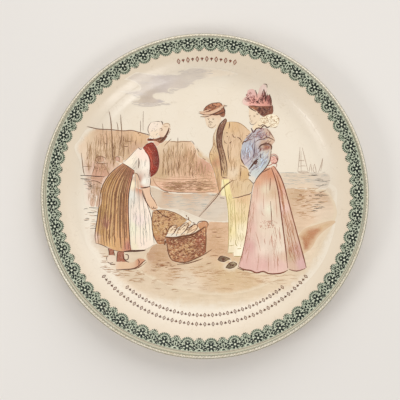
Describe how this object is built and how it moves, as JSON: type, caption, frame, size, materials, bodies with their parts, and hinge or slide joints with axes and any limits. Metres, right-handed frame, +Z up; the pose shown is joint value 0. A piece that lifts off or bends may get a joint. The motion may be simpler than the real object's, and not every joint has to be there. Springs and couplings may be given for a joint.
{
  "type": "souvenir plate",
  "caption": "Round glazed earthenware plate with a foot ring, a scalloped green border and a printed seaside scene in the well.",
  "frame": {"origin": "middle of the ring that the plate rests on, at the height of the table", "axes": "+Z up out of the plate's face, +Y towards the top of the picture, +X to the picture's right"},
  "size_m": [0.2, 0.2, 0.0177],
  "materials": {
    "fired_clay": "matt, porous, lightly stained where it rests",
    "glaze": "clear cream lead glaze, glossy, finely crazed",
    "green_print": "green print under a glossy glaze",
    "edge_print": "cream and tan beaded print, glossy",
    "line_print": "brown line print, glossy",
    "grey_print": "pale grey wash, glossy",
    "tan_print": "sandy brown wash, glossy",
    "rust_print": "rust brown wash, glossy",
    "russet_paint": "russet red colour, glossy",
    "umber_paint": "striped brown colour, glossy",
    "chestnut_paint": "dark brown colour, glossy",
    "white_paint": "white colour, glossy",
    "flesh_paint": "pale flesh colour, glossy",
    "ochre_paint": "light ochre colour, glossy",
    "straw_paint": "straw yellow colour, glossy",
    "blue_paint": "grey blue colour, glossy",
    "pink_paint": "salmon pink colour, glossy",
    "mauve_paint": "dusky pink brown colour, glossy"
  },
  "bodies": {
    "root": {"clay_body": "fired_clay", "glaze_coat": "glaze", "foot_well_glaze": "glaze", "border_green_print": "green_print", "bead_edge_print": "edge_print", "title_ornament_print": "line_print", "caption_ornament_print": "line_print", "cloud_grey_print": "grey_print", "sea_grey_print": "grey_print", "cliff_brown_print": "tan_print", "sand_print": "tan_print", "shadow_rust_print": "rust_print", "russet_print": "russet_paint", "umber_print": "umber_paint", "wicker_print": "rust_print", "chestnut_print": "chestnut_paint", "linen_print": "white_paint", "flesh_print": "flesh_paint", "ochre_print": "ochre_paint", "straw_print": "straw_paint", "blue_print": "blue_paint", "pink_print": "pink_paint", "mauve_print": "mauve_paint", "sepia_line_print": "line_print"}
  },
  "joints": []
}
